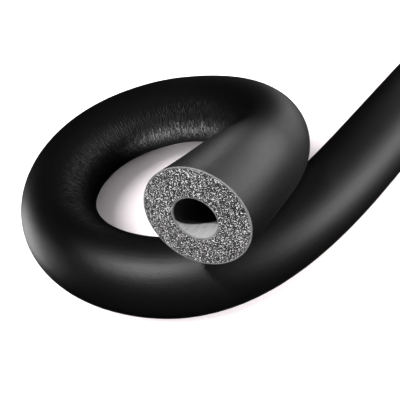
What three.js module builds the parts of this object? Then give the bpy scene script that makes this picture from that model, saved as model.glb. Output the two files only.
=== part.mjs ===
// Pipe insulation lagging: one length of closed-cell foam tube, lying on the floor with one end
// curled round in a loop and laid across its own run. Millimetres, +Z up, long run along +X.
import * as THREE from "three";

// Sizes of the stock
const OUTER_D = 44;           // outside of the foam
const BORE_D = 18;            // bore, for an 18 mm pipe
const LENGTH = 1000;          // one length as sold, measured along the middle of the tube
const CUT_LEAN = 11;          // degrees that the knife cut at the curled end leans off square

// How it lies. Places along the tube and bend radii are in outer diameters, because foam tube
// folds up when it is bent tighter than its own size allows. Each bend holds at its place and
// runs evenly into the next one.
const BENDS = [
  { at: 0.0, radius: 8.0 },        // curled end, almost straight
  { at: 1.3, radius: 8.0 },
  { at: 2.8, radius: 0.9 },        // tight turn, coming down to the floor
  { at: 4.75, radius: 2.8 },
  { at: 6.9, radius: 0.98 },       // second tight turn
  { at: 8.5, radius: 2.54 },
  { at: 9.1, radius: 1.82 },       // under the curled end
  { at: 10.8, radius: 6.0 },
  { at: 12.5, radius: Infinity },  // straight from here on
];

// Downward slope in degrees, from the raised end to the floor
const SLOPES = [
  { at: 0.0, slope: 26 },
  { at: 0.5, slope: 26 },
  { at: 1.26, slope: 40 },
  { at: 3.38, slope: 14.5 },
  { at: 4.16, slope: 0 },
];

// Fineness of the faceted tube
const SIDES = 24;             // flats around the tube, one of them facing straight down
const STEPS_PER_D = 6;        // steps in each outer diameter of bent tube
const ROUTE_STEP = 0.01;      // outer diameters between points while the route is added up

const outerRadius = OUTER_D / 2;
const boreRadius = BORE_D / 2;
const flatHeight = outerRadius * Math.cos(Math.PI / SIDES);

// A value that changes evenly between the places of a list
function between(list, at, valueOf) {
  let previous = list[0];
  for (const next of list) {
    if (at <= next.at) {
      const share = next.at === previous.at ? 0 : (at - previous.at) / (next.at - previous.at);
      return THREE.MathUtils.lerp(valueOf(previous), valueOf(next), share);
    }
    previous = next;
  }
  return valueOf(previous);
}

// The middle line of the tube: its heading is added up from the bends, its height from the slopes
class LaidRoute extends THREE.Curve {
  constructor() {
    super();
    const straightFrom = BENDS.at(-1).at;
    const bentSteps = Math.ceil(straightFrom * STEPS_PER_D);
    this.stations = [];
    for (let i = 0; i <= bentSteps; i++) {
      this.stations.push((straightFrom * i) / bentSteps);
    }
    this.stations.push(LENGTH / OUTER_D);
    this.trace();
  }

  // The turn from the curled end to the long run, which lies along +X
  static wholeTurn() {
    let turn = 0;
    for (let i = 1; i < BENDS.length; i++) {
      turn += ((1 / BENDS[i - 1].radius + 1 / BENDS[i].radius) / 2) * (BENDS[i].at - BENDS[i - 1].at);
    }
    return turn;
  }

  headingAndSlope(at) {
    return { bend: between(BENDS, at, (b) => 1 / b.radius), slope: between(SLOPES, at, (s) => s.slope) };
  }

  trace() {
    this.points = [];
    this.tangents = [];
    const place = new THREE.Vector3();
    let heading = -LaidRoute.wholeTurn();
    let at = 0;
    for (const station of this.stations) {
      const count = Math.max(1, Math.ceil((station - at) / ROUTE_STEP));
      const step = (station - at) / count;
      for (let i = 0; i < count && step > 0; i++) {
        const { bend, slope } = this.headingAndSlope(at + step / 2);
        const middleHeading = heading + (bend * step) / 2;
        place.addScaledVector(LaidRoute.direction(middleHeading, slope), step * OUTER_D);
        heading += bend * step;
        at += step;
      }
      this.points.push(place.clone());
      this.tangents.push(LaidRoute.direction(heading, this.headingAndSlope(station).slope));
    }
    const lift = flatHeight - place.z;
    this.points.forEach((point) => (point.z += lift));
  }

  static direction(heading, slope) {
    const down = THREE.MathUtils.degToRad(slope);
    return new THREE.Vector3(Math.cos(down) * Math.cos(heading), Math.cos(down) * Math.sin(heading), -Math.sin(down));
  }

  getPoint(t) {
    return this.points[Math.round(t * (this.points.length - 1))].clone();
  }

  getSpacedPoints() {
    return this.points;
  }

  // Level frames, so that the section never rolls and one flat faces the floor all the way
  computeFrenetFrames() {
    const up = new THREE.Vector3(0, 0, 1);
    const normals = this.tangents.map((tangent) => up.clone().cross(tangent).normalize());
    const binormals = this.tangents.map((tangent, i) => tangent.clone().cross(normals[i]));
    // The knife cut: the first section is taken on a leaning plane
    normals[0].addScaledVector(this.tangents[0], -Math.tan(THREE.MathUtils.degToRad(CUT_LEAN)));
    return { tangents: this.tangents, normals, binormals };
  }
}

// A regular polygon whose first flat faces straight down
function ring(radius) {
  const points = [];
  for (let i = 0; i < SIDES; i++) {
    const angle = -Math.PI / 2 + ((i + 0.5) * 2 * Math.PI) / SIDES;
    points.push(new THREE.Vector2(radius * Math.cos(angle), radius * Math.sin(angle)));
  }
  return points;
}

// The foam tube: its section, a wall with the bore through it, swept along the laid route
function foamTube() {
  const section = new THREE.Shape(ring(outerRadius));
  section.holes.push(new THREE.Path(ring(boreRadius)));
  const route = new LaidRoute();
  const geometry = new THREE.ExtrudeGeometry(section, {
    steps: route.points.length - 1,
    extrudePath: route,
    bevelEnabled: false,
  });
  const foam = new THREE.MeshStandardMaterial({ color: 0x17181a, roughness: 0.55, metalness: 0 });
  const mesh = new THREE.Mesh(geometry, foam);
  mesh.name = "foam_tube";
  return mesh;
}

// The origin is on the floor, under the middle of the laid tube's outline
const tube = foamTube();
tube.geometry.computeBoundingBox();
const middle = tube.geometry.boundingBox.getCenter(new THREE.Vector3());
tube.position.set(-middle.x, -middle.y, 0);

const lagging = new THREE.Group();
lagging.add(tube);

export default lagging;
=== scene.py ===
"""Pipe insulation lagging: a length of black foam tube with one end curled over its own run."""

import math

import bmesh
import bpy
from mathutils import Matrix, Vector


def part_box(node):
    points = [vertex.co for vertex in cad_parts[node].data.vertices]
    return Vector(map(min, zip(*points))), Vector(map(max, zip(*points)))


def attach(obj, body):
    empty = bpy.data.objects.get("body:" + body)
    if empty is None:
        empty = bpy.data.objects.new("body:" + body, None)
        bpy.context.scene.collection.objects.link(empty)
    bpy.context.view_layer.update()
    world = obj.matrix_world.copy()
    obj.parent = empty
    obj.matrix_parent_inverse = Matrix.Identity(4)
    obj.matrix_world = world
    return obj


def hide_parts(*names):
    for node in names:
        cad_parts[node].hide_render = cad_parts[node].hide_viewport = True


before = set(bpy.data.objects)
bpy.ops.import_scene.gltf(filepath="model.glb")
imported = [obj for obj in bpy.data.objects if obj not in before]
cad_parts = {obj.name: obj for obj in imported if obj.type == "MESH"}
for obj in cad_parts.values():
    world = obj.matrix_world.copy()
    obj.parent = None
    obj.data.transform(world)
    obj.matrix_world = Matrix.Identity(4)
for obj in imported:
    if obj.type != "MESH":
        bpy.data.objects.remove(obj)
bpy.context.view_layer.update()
bpy.ops.object.select_all(action="DESELECT")


# Camera. It stands low and close over the loop, so the raised end of the tube comes out large
# and the straight run falls away from it. It looks down from the loop's open side.
CAMERA_AT = Vector((-0.2976, -0.1068, 0.2263))
CAMERA_TURN = math.radians(36.0)   # from +Y towards +X
CAMERA_DOWN = math.radians(60.7)
CAMERA_ROLL = math.radians(12.5)
FOCAL_LENGTH_PX = 388.9
PICTURE_PX = 400
SENSOR_WIDTH_MM = 36
NEAREST_SEEN = 0.01

look = Vector((
    math.cos(CAMERA_DOWN) * math.sin(CAMERA_TURN),
    math.cos(CAMERA_DOWN) * math.cos(CAMERA_TURN),
    -math.sin(CAMERA_DOWN),
))
bpy.ops.object.camera_add()
camera = bpy.context.object
camera.name = "camera"
upright = look.to_track_quat("-Z", "Y").to_matrix()
rolled = upright @ Matrix.Rotation(-CAMERA_ROLL, 3, "Z")
camera.matrix_world = Matrix.Translation(CAMERA_AT) @ rolled.to_4x4()
camera.data.sensor_width = SENSOR_WIDTH_MM
camera.data.lens = FOCAL_LENGTH_PX / PICTURE_PX * SENSOR_WIDTH_MM
camera.data.clip_start = NEAREST_SEEN
bpy.context.scene.camera = camera


# Foam tube. It is elastomeric foam, extruded in one piece: closed cells inside, a smooth skin
# outside and in the bore, and open cells wherever a knife has cut it. It is modelled straight,
# as it comes out of the die, and then laid on the floor in its loop.
OUTER_D = 0.044
BORE_D = 0.018
LENGTH = 1.0
CUT_LEAN = math.radians(11)
LEAN_FADE = 0.03               # the stretch of tube that the leaning cut draws out
RIM = 0.0004                   # how far the knife rounds the skin over at the cut
CELL = 0.0004                  # across one foam cell
CELL_DEPTH = 0.00018

# The lay, as in the part: places along the tube and bend radii are in outer diameters
BENDS = [
    (0.0, 8.0),
    (1.3, 8.0),
    (2.8, 0.9),
    (4.75, 2.8),
    (6.9, 0.98),
    (8.5, 2.54),
    (9.1, 1.82),
    (10.8, 6.0),
    (12.5, math.inf),
]
SLOPES = [(0.0, 26), (0.5, 26), (1.26, 40), (3.38, 14.5), (4.16, 0)]
CURVATURES = [(at, 1 / radius) for at, radius in BENDS]
CAD_SIDES = 24                 # the part's tube stands on one of this many flats
LINE_STEP = 0.001
LEAD = 0.02                    # spare line beyond each end, for the leaning cut


def between(pairs, at):
    """A value that changes evenly between the places of a list."""
    before = pairs[0]
    for after in pairs:
        if at <= after[0]:
            share = 0 if after[0] == before[0] else (at - before[0]) / (after[0] - before[0])
            return before[1] + (after[1] - before[1]) * share
        before = after
    return before[1]


def laid_line(step):
    """The tube's middle line as points a step apart, with the run's end pointing along +X."""
    neighbours = zip(CURVATURES, CURVATURES[1:])
    whole_turn = sum((b[1] + a[1]) / 2 * (b[0] - a[0]) for a, b in neighbours)
    place = Vector((0, 0, 0))
    line = []
    at = -LEAD / OUTER_D
    heading = CURVATURES[0][1] * at - whole_turn
    for _ in range(round((LENGTH + 2 * LEAD) / step) + 1):
        line.append(place.copy())
        middle = max(0, at + step / OUTER_D / 2)
        slope = math.radians(between(SLOPES, middle))
        turn = between(CURVATURES, middle) * step / OUTER_D
        flat = math.cos(slope) * step
        place.x += flat * math.cos(heading + turn / 2)
        place.y += flat * math.sin(heading + turn / 2)
        place.z -= math.sin(slope) * step
        heading += turn
        at += step / OUTER_D
    return line


line = laid_line(LINE_STEP)
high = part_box("foam_tube")[1]
end = line[-1 - round(LEAD / LINE_STEP)]
widest = max(place.y for place in line)
above_floor = OUTER_D / 2 * math.cos(math.pi / CAD_SIDES)
shift = Vector((high.x - end.x, high.y - OUTER_D / 2 - widest, above_floor - end.z))

route_data = bpy.data.curves.new("route", "CURVE")
route_data.dimensions = "3D"
route_data.twist_mode = "Z_UP"
route_spline = route_data.splines.new("POLY")
route_spline.points.add(len(line) - 1)
for point, place in zip(route_spline.points, line):
    point.co = (*(place + shift), 1)
route = bpy.data.objects.new("route", route_data)
bpy.context.scene.collection.objects.link(route)

# Its section is drawn as a ring, ringed again across the wall for the cut faces, and pulled out
SIDES = 120
CAP_RINGS = 9
bpy.ops.mesh.primitive_circle_add(
    vertices=SIDES, radius=OUTER_D / 2, fill_type="NGON", rotation=(0, math.pi / 2, 0)
)
tube = bpy.context.object
tube.name = "foam_tube_skin"
bpy.ops.object.transform_apply(location=True, rotation=True, scale=True)
bpy.ops.object.mode_set(mode="EDIT")
bpy.ops.mesh.select_mode(type="FACE")
bpy.ops.mesh.select_all(action="SELECT")
bpy.ops.mesh.inset(thickness=RIM)
for _ in range(CAP_RINGS):
    bpy.ops.mesh.inset(thickness=((OUTER_D - BORE_D) / 2 - 2 * RIM) / CAP_RINGS)
bpy.ops.mesh.inset(thickness=RIM)
bpy.ops.mesh.delete(type="FACE")
bpy.ops.mesh.select_all(action="SELECT")
bent_length = BENDS[-1][0] * OUTER_D
bpy.ops.mesh.extrude_region_move(TRANSFORM_OT_translate={"value": (bent_length, 0, 0)})
bpy.ops.mesh.extrude_region_move(TRANSFORM_OT_translate={"value": (LENGTH - bent_length, 0, 0)})
bpy.ops.mesh.select_all(action="SELECT")
bpy.ops.mesh.normals_make_consistent(inside=False)
bpy.ops.mesh.select_all(action="DESELECT")
bpy.ops.object.mode_set(mode="OBJECT")

BEND_STEP = 0.003              # between the rings of the bent stretch
RUN_STEP = 0.012               # and of the straight run
PLACE_SLACK = 1e-4             # how near to a place along the tube counts as at it


def select_long_edges(low_x, high_x):
    """Selects the edges that run along the tube between two places."""
    bpy.ops.object.mode_set(mode="EDIT")
    bpy.ops.mesh.select_mode(type="EDGE")
    mesh = bmesh.from_edit_mesh(tube.data)
    for edge in mesh.edges:
        a, b = sorted(v.co.x for v in edge.verts)
        within = a > low_x - PLACE_SLACK and b < high_x + PLACE_SLACK
        edge.select_set(b - a > PLACE_SLACK and within)
    bmesh.update_edit_mesh(tube.data)


def cut_across(low_x, high_x, step):
    """Rings the tube between two places, in two passes, because one makes a hundred cuts at most."""
    per_pass = round(math.sqrt((high_x - low_x) / step))
    for _ in range(2):
        select_long_edges(low_x, high_x)
        bpy.ops.mesh.subdivide(number_cuts=per_pass - 1)
        bpy.ops.mesh.select_all(action="DESELECT")
        bpy.ops.object.mode_set(mode="OBJECT")


cut_across(0, bent_length, BEND_STEP)
cut_across(bent_length, LENGTH, RUN_STEP)

# The cut face of the raised end gets a finer net for its cells
CELL_CUTS = 3
bpy.ops.object.mode_set(mode="EDIT")
bpy.ops.mesh.select_mode(type="FACE")
mesh = bmesh.from_edit_mesh(tube.data)
mesh.normal_update()
for face in mesh.faces:
    faces_along = abs(face.normal.x) > math.cos(math.radians(45))
    face.select_set(faces_along and face.calc_center_median().x < RIM)
bmesh.update_edit_mesh(tube.data)
bpy.ops.mesh.subdivide(number_cuts=CELL_CUTS, quadcorner="INNERVERT")
bpy.ops.mesh.select_all(action="DESELECT")
bpy.ops.object.mode_set(mode="OBJECT")

# The knife rounds the rims over, and its leaning cut draws out one side of the raised end
CUT_SLACK = 1e-5               # how near to an end counts as on its cut face
as_extruded = [vertex.co.copy() for vertex in tube.data.vertices]
squeezed = [between(CURVATURES, place.x / OUTER_D) / OUTER_D * place.y for place in as_extruded]
cell_share = []
for vertex in tube.data.vertices:
    x, y, z = vertex.co
    across = math.hypot(y, z)
    inside_wall = min(OUTER_D / 2 - across, across - BORE_D / 2)
    on_cut = x < CUT_SLACK or x > LENGTH - CUT_SLACK
    cell_share.append(max(0, min(1, inside_wall / (2 * RIM))) if on_cut else 0)
    if on_cut and inside_wall < RIM / 2:
        vertex.co.x += RIM if x < CUT_SLACK else -RIM
    if x < LEAN_FADE:
        vertex.co.x -= math.tan(CUT_LEAN) * y * (1 - x / LEAN_FADE)
    vertex.co.x += LEAD

# The materials go by each place on the straight tube, and by how far a bend shortens the tube there
tube.data.attributes.new("straight", "FLOAT_VECTOR", "POINT")
numbers = [number for place in as_extruded for number in place]
tube.data.attributes["straight"].data.foreach_set("vector", numbers)
tube.data.attributes.new("squeeze", "FLOAT", "POINT")
tube.data.attributes["squeeze"].data.foreach_set("value", squeezed)
cells = tube.vertex_groups.new(name="cells")
for index, share in enumerate(cell_share):
    if share > 0:
        cells.add([index], share, "REPLACE")

bpy.ops.object.select_all(action="DESELECT")
tube.select_set(True)
bpy.context.view_layer.objects.active = tube
lay = tube.modifiers.new("lay", "CURVE")
lay.object = route
lay.deform_axis = "POS_X"
bpy.ops.object.modifier_apply(modifier=lay.name)
bpy.data.objects.remove(route)

# The opened cells stand as a fine relief on the cut faces, and nothing sinks into the floor
EDGE_ANGLE = math.radians(40)
cell_net = bpy.data.textures.new("opened cells", "VORONOI")
cell_net.noise_scale = CELL
relief = tube.modifiers.new("opened cells", "DISPLACE")
relief.texture = cell_net
relief.vertex_group = cells.name
relief.strength = CELL_DEPTH
relief.mid_level = 0.5
bpy.ops.object.modifier_apply(modifier=relief.name)
for vertex in tube.data.vertices:
    vertex.co.z = max(0, vertex.co.z)
bpy.ops.object.shade_smooth_by_angle(angle=EDGE_ANGLE)


def linear(hex_colour):
    """An sRGB hex colour as the linear numbers that a shader takes."""
    parts = [int(hex_colour[i:i + 2], 16) / 255 for i in (1, 3, 5)]
    return [*(c / 12.92 if c <= 0.04045 else ((c + 0.055) / 1.055) ** 2.4 for c in parts), 1]


def add(tree, kind, values=None, links=None, **settings):
    """Adds a node with its settings, its sockets' values and what is linked into them."""
    node = tree.nodes.new("ShaderNode" + kind)
    for name, value in settings.items():
        setattr(node, name, value)
    for socket, value in (values or {}).items():
        node.inputs[socket].default_value = value
    for socket, source in (links or {}).items():
        tree.links.new(source, node.inputs[socket])
    return node


def new_material(name):
    """An empty material with its tree and its shader."""
    material = bpy.data.materials.new(name)
    material.use_nodes = True
    tree = material.node_tree
    tree.nodes.clear()
    shader = add(tree, "BsdfPrincipled")
    add(tree, "OutputMaterial", links={"Surface": shader.outputs["BSDF"]})
    return material, tree, shader


MM_PER_M = 1000


def straight_place(tree):
    """The place on the straight tube in mm, which the patterns are sized by."""
    place = add(tree, "Attribute", attribute_name="straight").outputs["Vector"]
    to_mm = (MM_PER_M, MM_PER_M, MM_PER_M)
    return add(tree, "VectorMath", {1: to_mm}, {0: place}, operation="MULTIPLY").outputs[0]


def pattern(tree, in_mm, size, detail=2.0):
    """A noise whose spots are so many mm long and wide on the straight tube."""
    length, width = size
    spots = add(tree, "Mapping", {"Scale": (1 / length, 1 / width, 1 / width)}, {"Vector": in_mm})
    noise = add(tree, "TexNoise", {"Scale": 1.0, "Detail": detail}, {"Vector": spots.outputs[0]})
    return noise.outputs["Fac"]


# Skin. Black nitrile rubber foam that has closed over as it left the die: a satin film with fine
# drag lines along the tube, which puckers into close crosswise wrinkles where a bend squeezes it.
# Its grain is finer than a picture of the tube can show, so it is drawn at half a millimetre.
GRAIN = (0.5, 0.5)
WRINKLES = (0.6, 4.0)
DRAG_LINES = (60.0, 0.9)
PATCHES = (40.0, 12.0)
FIRST_PUCKER = 0.05            # the share by which a bend shortens the skin as wrinkles begin
FULL_PUCKER = 0.26             # and where they stand full

material, tree, shader = new_material("nitrile_foam_skin")
in_mm = straight_place(tree)
squeeze = add(tree, "Attribute", attribute_name="squeeze").outputs["Fac"]
puckered = add(
    tree,
    "MapRange",
    {"From Min": FIRST_PUCKER, "From Max": FULL_PUCKER},
    {"Value": squeeze},
)
grain = pattern(tree, in_mm, GRAIN, 3.0)
satin = add(
    tree,
    "MapRange",
    {"From Min": 0.3, "From Max": 0.7, "To Min": 0.46, "To Max": 0.54},
    {"Value": grain},
)
tone = add(
    tree,
    "Mix",
    {"A": linear("#020202"), "B": linear("#050505")},
    {"Factor": pattern(tree, in_mm, PATCHES)},
    data_type="RGBA",
)
tree.links.new(tone.outputs[2], shader.inputs["Base Color"])
tree.links.new(satin.outputs[0], shader.inputs["Roughness"])
shader.inputs["IOR"].default_value = 1.5
grained = add(tree, "Bump", {"Strength": 0.4, "Distance": 0.0003}, {"Height": grain})
dragged = add(
    tree,
    "Bump",
    {"Strength": 0.2, "Distance": 0.0002},
    {"Height": pattern(tree, in_mm, DRAG_LINES), "Normal": grained.outputs[0]},
)
wrinkled = add(
    tree,
    "Bump",
    {"Distance": 0.0007},
    {
        "Height": pattern(tree, in_mm, WRINKLES, 0.0),
        "Strength": puckered.outputs[0],
        "Normal": dragged.outputs[0],
    },
)
tree.links.new(wrinkled.outputs[0], shader.inputs["Normal"])
tube.data.materials.append(material)


# Cut foam. The knife opens the closed cells, about 0.4 mm across, so the face is a net of torn thin
# walls round hollows, coloured with painted light and shade: pale on the highest walls, dark in the
# hollows. The fine pale line at its rims, where the knife rounds the skin over, is a painted
# highlight.
CELL_MM = MM_PER_M * CELL
FLECKS = (0.6 * CELL_MM, 0.6 * CELL_MM)
RIM_MM = MM_PER_M * RIM
OUTER_R_MM = MM_PER_M * OUTER_D / 2
BORE_R_MM = MM_PER_M * BORE_D / 2

material, tree, shader = new_material("cut_foam_cells")
in_mm = straight_place(tree)
cell = add(tree, "TexVoronoi", {"Scale": 1 / CELL_MM}, {"Vector": in_mm}).outputs["Distance"]
walls = add(tree, "MapRange", {"From Min": 0.1, "From Max": 0.8}, {"Value": cell})
torn = {0: walls.outputs[0], 1: pattern(tree, in_mm, FLECKS, 1.0)}
height = add(tree, "Math", links=torn, operation="ADD").outputs[0]

# The two patterns add up to the net's height, and its colour is painted light and shade on that
# height: only the highest walls are pale, the hollows dark
lit = add(tree, "MapRange", {"From Min": 1.02, "From Max": 1.42}, {"Value": height})
shade = add(tree, "ValToRGB", links={"Fac": lit.outputs[0]})
shade.color_ramp.elements[0].color = linear("#020202")
shade.color_ramp.elements[1].color = linear("#a0a0a0")
shade.color_ramp.elements.new(0.5).color = linear("#161616")

parted = add(tree, "SeparateXYZ", links={"Vector": in_mm})
section = add(tree, "CombineXYZ", links={"Y": parted.outputs["Y"], "Z": parted.outputs["Z"]})
across = add(tree, "VectorMath", links={0: section.outputs[0]}, operation="LENGTH").outputs["Value"]
# A fine pale line along both rims is a painted highlight, where the rounded-over skin catches the
# light
outer_rim_glint = add(
    tree,
    "MapRange",
    {"From Min": OUTER_R_MM - 2 * RIM_MM, "From Max": OUTER_R_MM - RIM_MM},
    {"Value": across},
)
bore_rim_glint = add(
    tree,
    "MapRange",
    {"From Min": BORE_R_MM + RIM_MM, "From Max": BORE_R_MM + 2 * RIM_MM, "To Min": 1.0, "To Max": 0.0},
    {"Value": across},
)
painted_rim_glint = add(
    tree,
    "Math",
    links={0: outer_rim_glint.outputs[0], 1: bore_rim_glint.outputs[0]},
    operation="MAXIMUM",
)
glint_rimmed = add(
    tree,
    "Mix",
    {"B": linear("#5e5e5e")},
    {"Factor": painted_rim_glint.outputs[0], "A": shade.outputs[0]},
    data_type="RGBA",
)
tree.links.new(glint_rimmed.outputs[2], shader.inputs["Base Color"])
shader.inputs["Roughness"].default_value = 0.6
celled = add(tree, "Bump", {"Strength": 1.0, "Distance": 0.0003}, {"Height": height})
tree.links.new(celled.outputs[0], shader.inputs["Normal"])
tube.data.materials.append(material)


# Bore skin. The same black film, left dull by the die's mandrel. Over the lower side of the mouth a
# pale grey in faint streaks is painted light, as if lit in through the mouth, and it ends at a slant
# as a painted shadow edge.
STREAKS = (8.0, 0.8)
LIGHT_EDGE_SLANT = 0.75
LIGHT_THINS = 7.0               # mm in from the cut, by the slant, where the painted light starts to thin
LIGHT_ENDS = 7.8
LIGHT_BELOW = -3.0              # mm above the middle of the bore, where it starts to thin upwards
LIGHT_TOP = 1.0

material, tree, shader = new_material("bore_skin_painted_light")
in_mm = straight_place(tree)
streaks = pattern(tree, in_mm, STREAKS, 3.0)
parted = add(tree, "SeparateXYZ", links={"Vector": in_mm})
from_cut = parted.outputs["X"]
from_far_end = add(tree, "Math", {0: MM_PER_M * LENGTH}, {1: from_cut}, operation="SUBTRACT")
depth = add(tree, "Math", links={0: from_cut, 1: from_far_end.outputs[0]}, operation="MINIMUM")
slanted = add(
    tree,
    "Math",
    {1: LIGHT_EDGE_SLANT},
    {0: depth.outputs[0], 2: parted.outputs["Y"]},
    operation="MULTIPLY_ADD",
)
near_mouth = add(
    tree,
    "MapRange",
    {"From Min": LIGHT_THINS, "From Max": LIGHT_ENDS, "To Min": 1.0, "To Max": 0.0},
    {"Value": slanted.outputs[0]},
)
on_lower_side = add(
    tree,
    "MapRange",
    {"From Min": LIGHT_BELOW, "From Max": LIGHT_TOP, "To Min": 1.0, "To Max": 0.0},
    {"Value": parted.outputs["Z"]},
)
# The pale grey is painted light in the mouth of the bore, and its slanted end is a painted shadow edge
painted_light_share = add(
    tree,
    "Math",
    links={0: near_mouth.outputs[0], 1: on_lower_side.outputs[0]},
    operation="MULTIPLY",
)
painted_light = add(
    tree,
    "Mix",
    {"A": linear("#646464"), "B": linear("#909090")},
    {"Factor": streaks},
    data_type="RGBA",
)
tone = add(
    tree,
    "Mix",
    {"A": linear("#060606")},
    {"Factor": painted_light_share.outputs[0], "B": painted_light.outputs[2]},
    data_type="RGBA",
)
tree.links.new(tone.outputs[2], shader.inputs["Base Color"])
shader.inputs["Roughness"].default_value = 0.7
streaked = add(tree, "Bump", {"Strength": 0.2, "Distance": 0.0002}, {"Height": streaks})
tree.links.new(streaked.outputs[0], shader.inputs["Normal"])
tube.data.materials.append(material)

# The order in which the three were given to the tube
SKIN, CUT, BORE = 0, 1, 2
wall_middle = (OUTER_D + BORE_D) / 4
for face in tube.data.polygons:
    places = [as_extruded[v] for v in face.vertices]
    on_near_cut = all(place.x < CUT_SLACK for place in places)
    on_far_cut = all(place.x > LENGTH - CUT_SLACK for place in places)
    in_bore = math.hypot(places[0].y, places[0].z) < wall_middle
    face.material_index = CUT if on_near_cut or on_far_cut else BORE if in_bore else SKIN

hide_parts("foam_tube")
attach(tube, "root")


# Floor. A plain sheet of white paper that runs on past the picture on every side. Its fibres
# are finer than the picture can show, so they are drawn about a millimetre wide.
FLOOR_SIZE = 12
FIBRES_PER_M = 900.0
bpy.ops.mesh.primitive_plane_add(size=FLOOR_SIZE)
floor = bpy.context.object
floor.name = "floor"
material, tree, shader = new_material("matt_white_paper")
place = add(tree, "TexCoord").outputs["Object"]
fibres = add(tree, "TexNoise", {"Scale": FIBRES_PER_M, "Detail": 2.0}, {"Vector": place})
tone = add(
    tree,
    "Mix",
    {"A": linear("#efe8ea"), "B": linear("#f5eef0")},
    {"Factor": fibres.outputs["Fac"]},
    data_type="RGBA",
)
tree.links.new(tone.outputs[2], shader.inputs["Base Color"])
shader.inputs["Roughness"].default_value = 0.9
floor.data.materials.append(material)
floor.visible_glossy = False       # the paper's glare isn't mirrored in the black skin


# Light. Soft boxes round the loop give the skin its long highlights. A spot behind on the left
# throws the raised end's shadow and reaches into the bore, and one behind on the right lights
# that end's top. The room's walls and an even light from above clear the paper to white.
LOOP_MIDDLE = Vector((-0.24, 0, 0.03))


def soft_box(name, turn, rise, distance, width, height, watts):
    """A light that faces the loop, from its turn (+Y towards +X) and its rise in degrees."""
    turn, rise = math.radians(turn), math.radians(rise)
    way = Vector((math.sin(turn) * math.cos(rise), math.cos(turn) * math.cos(rise), math.sin(rise)))
    bpy.ops.object.light_add(type="AREA", location=LOOP_MIDDLE + distance * way)
    lamp = bpy.context.object
    lamp.name = name
    lamp.rotation_euler = (-way).to_track_quat("-Z", "Y").to_euler()
    lamp.data.shape = "ELLIPSE"
    lamp.data.size = width
    lamp.data.size_y = height
    lamp.data.energy = watts
    lamp.visible_camera = False


soft_box("light_right", 92, 4, 2.0, 1.9, 0.6, 25.0)
soft_box("light_right_low", 115, 15, 1.0, 0.4, 0.4, 2.2)
soft_box("light_right_front", 150, 28, 1.0, 0.4, 0.6, 9.2)
soft_box("light_right_high", 135, 50, 1.0, 0.35, 0.35, 0.8)
soft_box("light_left", 316, 6, 1.0, 0.3, 0.4, 2.0)
soft_box("light_back", 0, 66, 1.0, 0.35, 0.35, 0.2)

GLARE_SPREAD = math.radians(110)


def paper_glare(name, place, aim, width, watts):
    """The glare of brightly lit paper, as a low light that shines up from the floor."""
    place = Vector(place)
    bpy.ops.object.light_add(type="AREA", location=place)
    glare = bpy.context.object
    glare.name = name
    glare.rotation_euler = (Vector(aim) - place).to_track_quat("-Z", "Y").to_euler()
    glare.data.shape = "DISK"
    glare.data.size = width
    glare.data.spread = GLARE_SPREAD
    glare.data.energy = watts
    glare.visible_camera = False


paper_glare("glare_in_the_loop", (-0.235, -0.005, 0.008), (-0.195, 0.024, 0.027), 0.02, 0.027)
paper_glare("glare_on_the_left", (-0.42, 0.16, 0.003), (-0.315, 0.035, 0.037), 0.14, 0.10)

SPOT_RADIUS = 0.01


def spot(name, place, aim, watts, cone, blend):
    """A small lamp whose light is held to a cone, in degrees."""
    bpy.ops.object.light_add(type="SPOT", location=place)
    lamp = bpy.context.object
    lamp.name = name
    lamp.rotation_euler = (Vector(aim) - lamp.location).to_track_quat("-Z", "Y").to_euler()
    lamp.data.energy = watts
    lamp.data.spot_size = math.radians(cone)
    lamp.data.spot_blend = blend
    lamp.data.shadow_soft_size = SPOT_RADIUS


spot("spot_behind_left", (-0.348, 0.075, 0.411), (-0.258, -0.07, 0.04), 9.0, 26, 0.9)
spot("spot_behind_right", (0.357, 0.476, 0.179), (-0.272, -0.038, 0.1), 7.0, 7.0, 1.0)

# The even light from above isn't mirrored in the skin
ABOVE_LEAN = math.radians(28)
ABOVE_TURN = math.radians(215)
bpy.ops.object.light_add(type="SUN", rotation=(ABOVE_LEAN, 0, ABOVE_TURN))
above = bpy.context.object
above.name = "light_above"
above.data.energy = 3.4
above.data.angle = math.radians(35)
above.visible_glossy = False

# The room's walls are bright and its ceiling is dimmer, so the paper comes out white all round
# and only the floor inside the loop keeps a faint mauve shade
WALL_GLOW = 2.4
CEILING_GLOW = 0.95
bpy.context.scene.world = bpy.data.worlds.new("room")
room = bpy.context.scene.world
room.use_nodes = True
tree = room.node_tree
way = add(tree, "TexCoord").outputs["Generated"]
rise = add(tree, "SeparateXYZ", links={"Vector": way}).outputs["Z"]
glow = add(
    tree,
    "MapRange",
    {"From Min": 0.1, "From Max": 0.6, "To Min": WALL_GLOW, "To Max": CEILING_GLOW},
    {"Value": rise},
)
background = tree.nodes["Background"]
background.inputs["Color"].default_value = linear("#f2f2f2")
tree.links.new(glow.outputs[0], background.inputs["Strength"])
room.cycles_visibility.glossy = False

# The picture's blacks are deep, so its darker tones are drawn down a little
bpy.context.scene.view_settings.view_transform = "Standard"
bpy.context.scene.view_settings.gamma = 0.88
